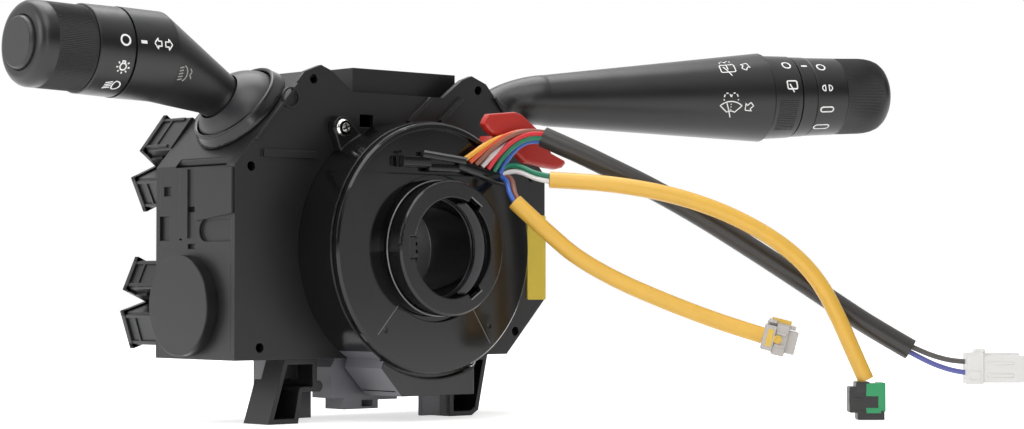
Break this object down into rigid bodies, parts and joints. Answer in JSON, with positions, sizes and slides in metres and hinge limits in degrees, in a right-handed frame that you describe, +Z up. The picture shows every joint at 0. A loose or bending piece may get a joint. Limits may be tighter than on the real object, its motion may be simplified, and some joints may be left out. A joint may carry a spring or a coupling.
{
  "type": "combination stalk switch",
  "caption": "Steering-column combination switch with lamp and wiper stalks, a central clock-spring rotor with leads, and a red transit lock.",
  "frame": {"origin": "on the steering column's axis at the rear mouth of the housing's column bore, where the housing seats on its bracket", "axes": "+X to the driver's right, +Y forward along the column away from the driver, +Z up"},
  "size_m": [0.4139, 0.2554, 0.1595],
  "materials": {
    "housing_black": "fine moulded texture",
    "stalk_black": "fine moulded texture",
    "gloss_black": "polished",
    "dome_grey": "satin",
    "plug_grey": "satin",
    "lock_red": "satin",
    "label_yellow": "bare film",
    "nylon_white": "satin",
    "clip_light": "satin",
    "acetal": "machined",
    "zinc": "zinc plated",
    "spring_steel": "drawn wire",
    "board_black": "moulded",
    "sleeve_black": "woven sleeve",
    "sleeve_yellow": "woven sleeve",
    "wire_mixed": "insulated wires",
    "latch_yellow": "satin",
    "film_tan": "flat cable film",
    "lock_green": "satin"
  },
  "bodies": {
    "housing": {"main_housing": "housing_black", "right_leg": "housing_black", "rear_foot_socket": "housing_black", "lamp_switch_case": "housing_black", "wiper_switch_case": "housing_black", "lamp_contact_board": "board_black", "wiper_contact_board": "board_black", "lamp_throat_collar": "housing_black", "wiper_throat_collar": "housing_black", "lamp_yoke": "acetal", "wiper_yoke": "acetal", "blank_cap": "housing_black", "stator_housing": "housing_black", "ribbon_coil": "film_tan", "stator_screws": "zinc", "stator_harness_plug": "plug_grey", "side_harness_plug": "plug_grey", "upper_rear_socket": "board_black", "lower_rear_socket": "board_black", "label_plate": "label_yellow"},
    "rotor": {"rotor_disc": "gloss_black", "rotor_hub": "stalk_black", "hub_latch": "board_black", "outlet_cover": "clip_light", "cancel_cam": "stalk_black", "black_sleeve": "sleeve_black", "upper_yellow_sleeve": "sleeve_yellow", "lower_yellow_sleeve": "sleeve_yellow", "black_lead_wires": "wire_mixed", "upper_lead_wires": "wire_mixed", "lower_lead_wires": "wire_mixed", "white_connector_wires": "wire_mixed", "white_connector": "nylon_white", "latch_connector": "plug_grey", "connector_latch": "latch_yellow", "floor_connector": "board_black", "floor_connector_lock": "lock_green"},
    "transit_lock": {"transit_lock": "lock_red"},
    "lamp_carrier": {"lamp_carrier": "acetal"},
    "lamp_stalk": {"lamp_stalk_body": "stalk_black", "lamp_lever_core": "acetal", "lamp_pull_pin": "spring_steel", "lamp_dome": "dome_grey", "lamp_plunger": "acetal", "lamp_plunger_spring": "spring_steel"},
    "lamp_knob": {"lamp_band": "stalk_black", "lamp_grip": "stalk_black"},
    "lamp_button": {"lamp_end_button": "stalk_black"},
    "wiper_carrier": {"wiper_carrier": "acetal"},
    "wiper_stalk": {"wiper_stalk_body": "stalk_black", "wiper_lever_core": "acetal", "wiper_pull_pin": "spring_steel", "wiper_dome": "dome_grey", "wiper_plunger": "acetal", "wiper_plunger_spring": "spring_steel", "wiper_marker_ring": "stalk_black"},
    "rear_wiper_ring": {"rear_wiper_ring": "stalk_black"},
    "wiper_knob": {"wiper_band": "stalk_black", "wiper_grip": "stalk_black"}
  },
  "joints": [
    {"name": "clock_spring_turn", "type": "hinge", "parent": "housing", "child": "rotor", "pos_m": [0, -0.06, 0], "axis": [0, 1, 0], "range_deg": [-1.5, 1.5]},
    {"name": "transit_lock_pull", "type": "slide", "parent": "housing", "child": "transit_lock", "axis": [0.6157, 0, 0.788], "range_m": [0, 0.02]},
    {"name": "lamp_turn_signal", "type": "hinge", "parent": "housing", "child": "lamp_carrier", "pos_m": [-0.0578, -0.03, 0.0507], "axis": [0, 1, 0], "range_deg": [-9, 9]},
    {"name": "lamp_flash_pull", "type": "hinge", "parent": "lamp_carrier", "child": "lamp_stalk", "pos_m": [-0.0578, -0.03, 0.0507], "axis": [0.5075, 0, 0.8616], "range_deg": [-5, 6], "stiffness_Nm_per_rad": 1},
    {"name": "lamp_knob_turn", "type": "hinge", "parent": "lamp_stalk", "child": "lamp_knob", "pos_m": [-0.1214, -0.03, 0.0736], "axis": [-0.9996, 0, 0.0279], "range_deg": [0, 62]},
    {"name": "lamp_button_press", "type": "slide", "parent": "lamp_knob", "child": "lamp_button", "axis": [0.9996, 0, -0.0279], "range_m": [0, 0.0015], "stiffness_N_per_m": 900},
    {"name": "wiper_mode_step", "type": "hinge", "parent": "housing", "child": "wiper_carrier", "pos_m": [0.0578, -0.03, 0.0507], "axis": [0, 1, 0], "range_deg": [-9, 9]},
    {"name": "washer_pull", "type": "hinge", "parent": "wiper_carrier", "child": "wiper_stalk", "pos_m": [0.0578, -0.03, 0.0507], "axis": [0.5075, 0, -0.8616], "range_deg": [0, 6], "stiffness_Nm_per_rad": 1.5},
    {"name": "rear_wiper_ring_turn", "type": "hinge", "parent": "wiper_stalk", "child": "rear_wiper_ring", "pos_m": [0.18794, -0.07765, 0.06948], "axis": [-0.9265, 0.3743, -0.0391], "range_deg": [0, 60]},
    {"name": "wiper_knob_turn", "type": "hinge", "parent": "wiper_stalk", "child": "wiper_knob", "pos_m": [0.18794, -0.07765, 0.06948], "axis": [-0.9265, 0.3743, -0.0391], "range_deg": [0, 93]}
  ]
}
